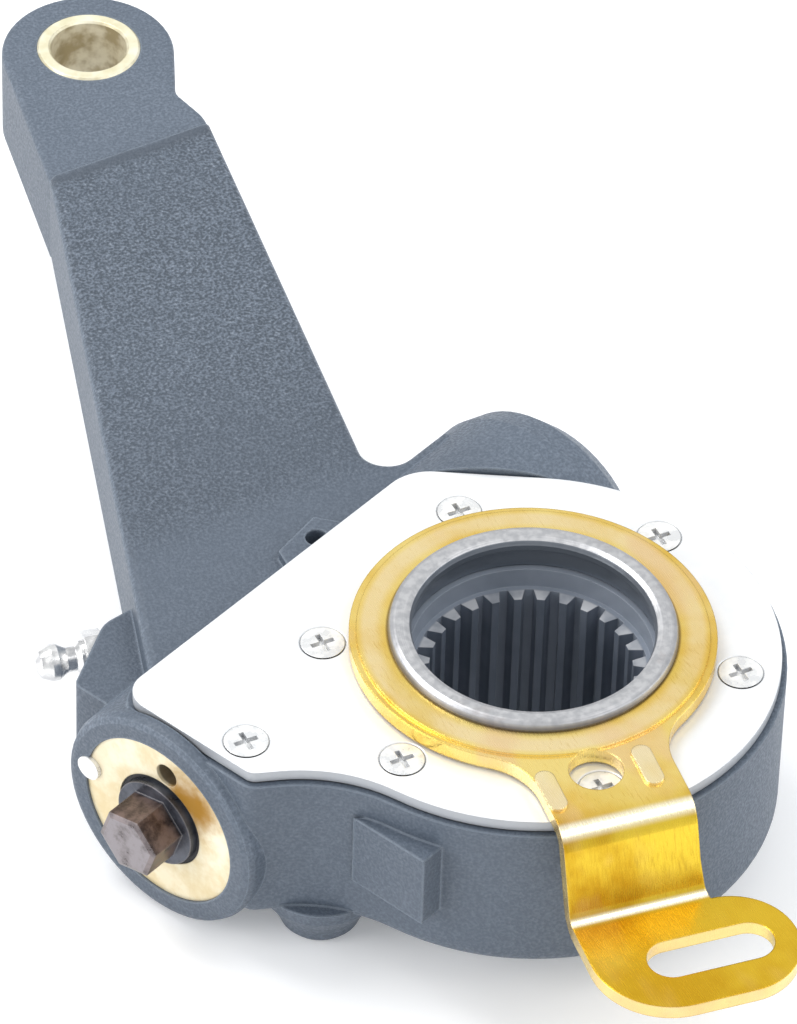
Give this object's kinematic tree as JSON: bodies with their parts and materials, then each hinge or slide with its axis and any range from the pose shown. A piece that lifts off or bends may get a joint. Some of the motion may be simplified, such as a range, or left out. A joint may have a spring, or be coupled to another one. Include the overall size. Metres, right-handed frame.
{
  "type": "brake slack adjuster",
  "caption": "Automatic brake slack adjuster: a cast lever with a clevis eye, a splined hub turned by a worm, and a slotted control arm that drives the adjusting train.",
  "frame": {"origin": "on the camshaft bore axis, in the plane of the lower face of the hub collar", "axes": "+Z along the camshaft bore towards the cover plate and the control arm, +Y from the bore axis to the axis of the clevis eye, +X to the right seen from +Z"},
  "size_m": [0.1181, 0.2714, 0.047],
  "materials": {
    "painted_casting": "blue-grey paint over a rough casting",
    "bush_brass": "pale bearing metal",
    "zinc_plate": "bright zinc-coated sheet",
    "zinc_screws": "zinc-coated",
    "gasket_sheet": "fibre sheet",
    "yellow_chromate": "yellow chromate on steel",
    "ground_steel": "ground",
    "seal_rubber": "matt",
    "gear_steel": "cut gear",
    "wheel_steel": "dark oiled steel",
    "washer_steel": "satin",
    "dark_steel": "dark oxide",
    "clutch_steel": "cut gear",
    "bearing_steel": "polished",
    "cover_disc": "cream-gold coating",
    "spring_steel": "blued",
    "pinion_steel": "cut gear",
    "nipple_zinc": "bright zinc"
  },
  "bodies": {
    "frame": {"housing": "painted_casting", "clevis_bush": "bush_brass", "cover_plate": "zinc_plate", "cover_screws": "zinc_screws", "cover_gasket": "gasket_sheet", "arm_seal_ring": "seal_rubber", "lower_seal_ring": "seal_rubber", "wheel_thrust_washer": "washer_steel", "worm_end_cover": "cover_disc", "worm_shaft_seal": "seal_rubber", "end_cover_lock_pin": "zinc_screws", "thrust_race_front": "bearing_steel", "rear_bush": "bush_brass", "spring_seat": "washer_steel", "power_spring": "spring_steel", "adjuster_washer": "washer_steel", "grease_nipple": "nipple_zinc"},
    "wheel": {"worm_wheel": "wheel_steel"},
    "worm": {"worm_shaft": "dark_steel", "clutch_wheel": "clutch_steel", "thrust_race_rear": "bearing_steel"},
    "roller_cage": {"thrust_rollers": "bearing_steel"},
    "arm": {"control_arm": "yellow_chromate", "arm_sleeve": "ground_steel", "reference_gear": "gear_steel"},
    "pinion_body": {"pinion": "pinion_steel", "one_way_clutch_spring": "spring_steel"},
    "adjuster": {"adjuster_screw": "gear_steel"}
  },
  "joints": [
    {"name": "worm_spin", "type": "hinge", "parent": "frame", "child": "worm", "pos_m": [-0.01306, 0.0303, 0.021], "axis": [0.9183, 0.3959, 0], "continuous": true},
    {"name": "worm_wheel_spin", "type": "hinge", "parent": "frame", "child": "wheel", "pos_m": [0, 0, 0.021], "axis": [0, 0, 1], "continuous": true},
    {"name": "adjuster_screw_spin", "type": "hinge", "parent": "frame", "child": "adjuster", "pos_m": [-0.03895, -0.00204, 0.021], "axis": [0, 0, 1], "continuous": true},
    {"name": "roller_orbit", "type": "hinge", "parent": "frame", "child": "roller_cage", "pos_m": [-0.01306, 0.0303, 0.021], "axis": [0.9183, 0.3959, 0], "continuous": true},
    {"name": "control_arm_swing", "type": "hinge", "parent": "frame", "child": "arm", "pos_m": [0, 0, 0.04], "axis": [0, 0, 1], "range_deg": [-20, 70]},
    {"name": "pinion_spin", "type": "hinge", "parent": "frame", "child": "pinion_body", "pos_m": [-0.03895, -0.00204, 0.021], "axis": [0, 0, 1], "range_deg": [-265, 80]}
  ],
  "couplings": [
    {"joint": "worm_wheel_spin", "follows": "worm_spin", "ratio": 0.04},
    {"joint": "adjuster_screw_spin", "follows": "worm_spin", "ratio": 8},
    {"joint": "roller_orbit", "follows": "worm_spin", "ratio": 0.5},
    {"joint": "pinion_spin", "follows": "control_arm_swing", "ratio": -3.7273}
  ]
}
